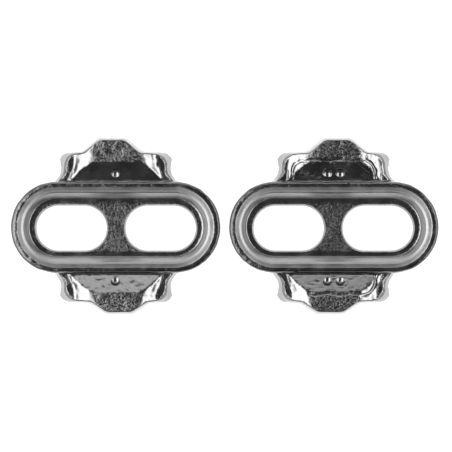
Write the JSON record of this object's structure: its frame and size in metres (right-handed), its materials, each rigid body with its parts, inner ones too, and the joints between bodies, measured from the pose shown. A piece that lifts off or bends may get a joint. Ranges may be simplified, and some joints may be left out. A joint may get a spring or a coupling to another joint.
{
  "type": "pair of bicycle shoe cleats",
  "caption": "Mirrored pair of plated steel shoe cleats: an oval dish with two bolt slots between a toe tongue and a heel tongue that lock under a pedal's bars.",
  "frame": {"origin": "midway between the two cleats, on the sole face that both rest on", "axes": "+X across the shoes from the left cleat to the right, +Y towards the toes, +Z from sole to pedal"},
  "size_m": [0.0668, 0.0276, 0.0066],
  "materials": {
    "plated_steel": "bright plating over a lightly pitted casting, polished on the facets and walls"
  },
  "bodies": {
    "root": {"left_cleat": "plated_steel", "right_cleat": "plated_steel"}
  },
  "joints": []
}
